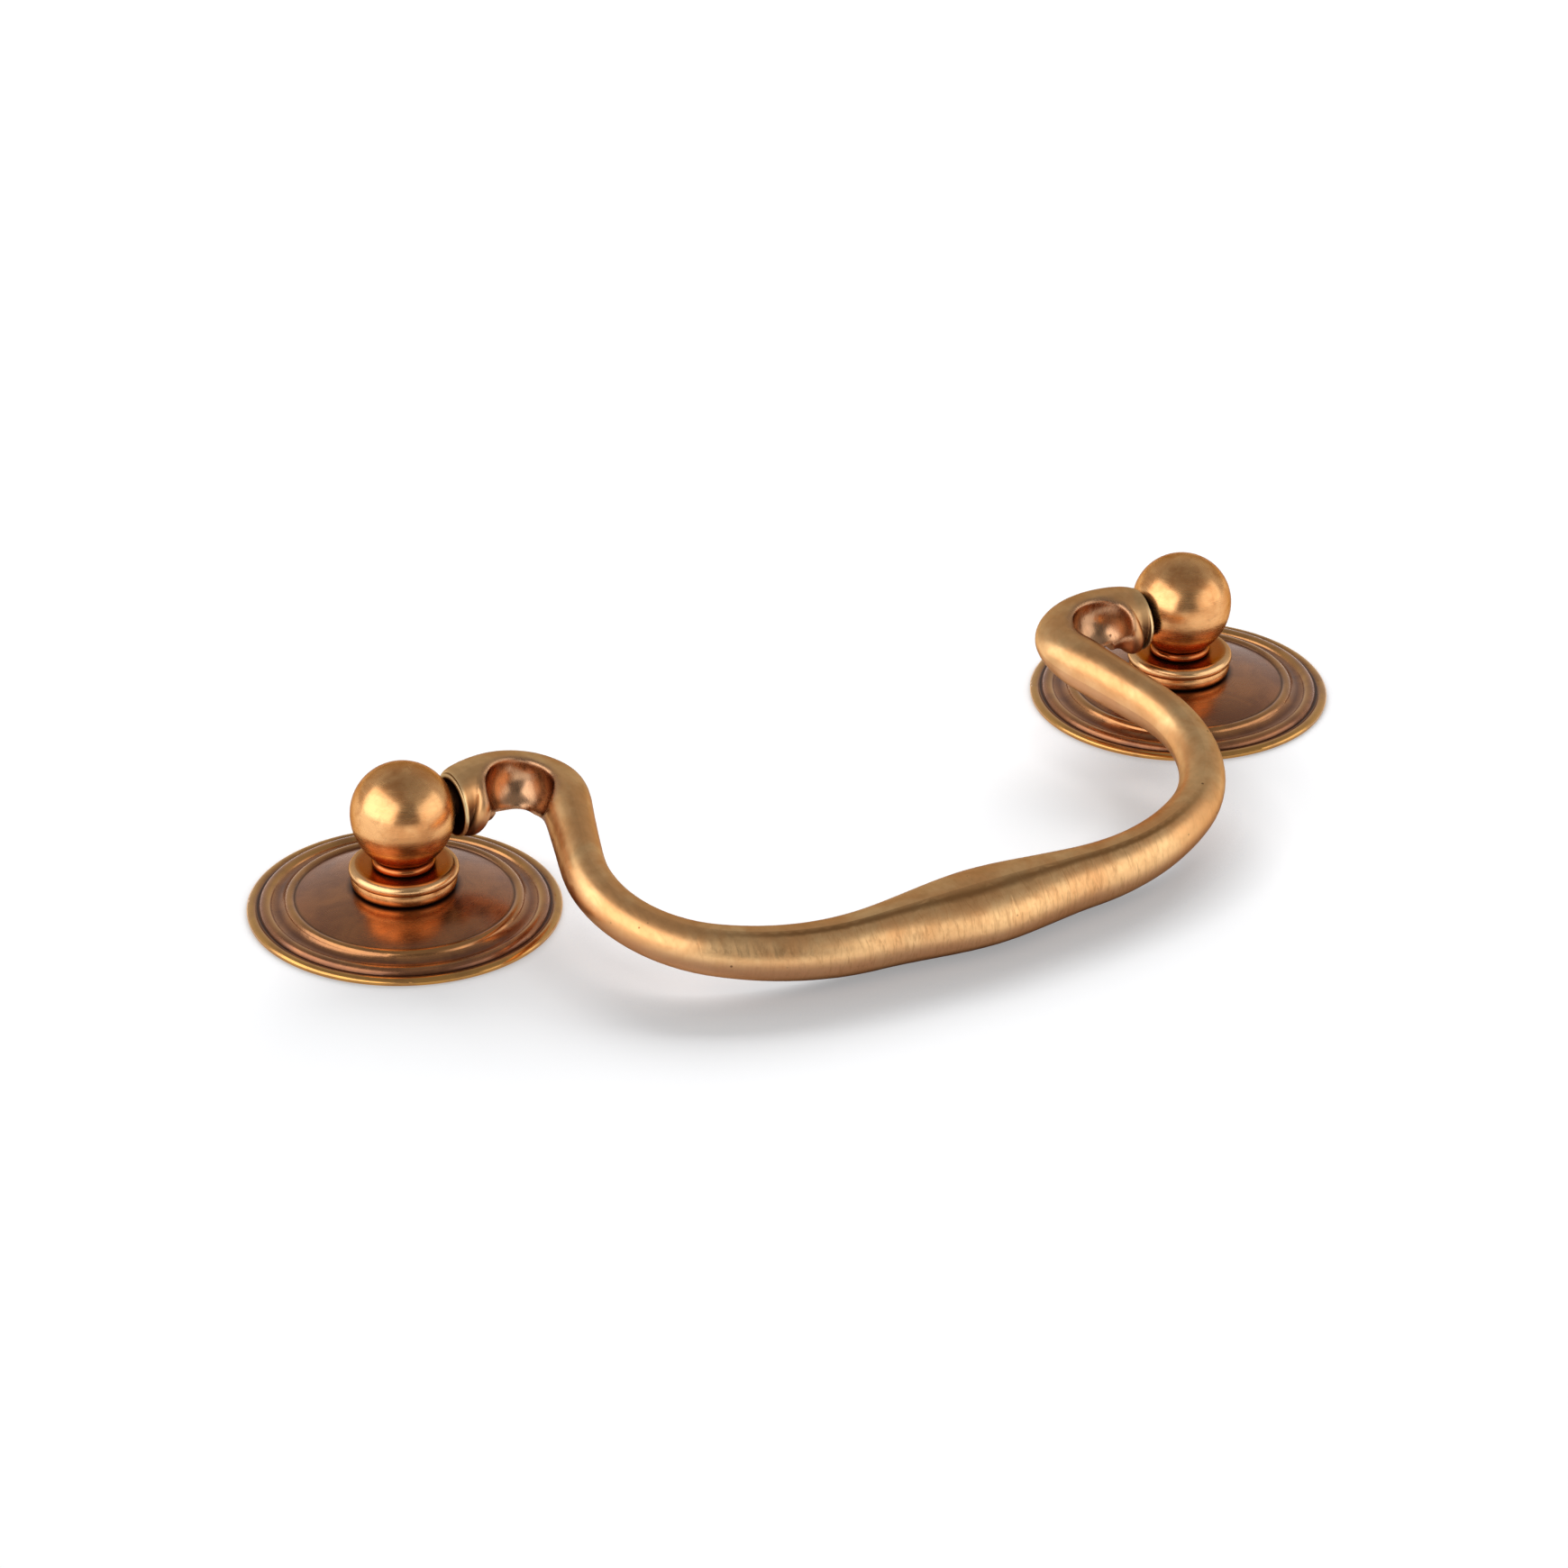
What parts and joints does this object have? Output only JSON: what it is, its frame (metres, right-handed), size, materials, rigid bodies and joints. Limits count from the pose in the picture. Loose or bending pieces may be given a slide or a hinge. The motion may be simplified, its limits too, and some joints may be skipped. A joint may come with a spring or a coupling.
{
  "type": "cabinet handle",
  "caption": "Swan-neck drop handle: a curved bail swings in ball-headed posts that stand on round moulded roses, for pulling a drawer or cupboard door open.",
  "frame": {"origin": "on the drawer front, midway between the two fixing holes", "axes": "+X from the left post to the right post, +Z out of the drawer front, and the bail hangs towards -Y"},
  "size_m": [0.1286, 0.0561, 0.0165],
  "materials": {
    "rose_brass": "polished, aged to a red-brown patina",
    "post_brass": "turned and burnished, antique",
    "bail_brass": "satin, antique"
  },
  "bodies": {
    "mount": {"rose_left": "rose_brass", "rose_right": "rose_brass", "post_left": "post_brass", "post_right": "post_brass"},
    "bail": {"bail": "bail_brass"}
  },
  "joints": [
    {"name": "bail_swing", "type": "hinge", "parent": "mount", "child": "bail", "pos_m": [0, 0, 0.01105], "axis": [-1, 0, 0], "range_deg": [0, 204]}
  ]
}
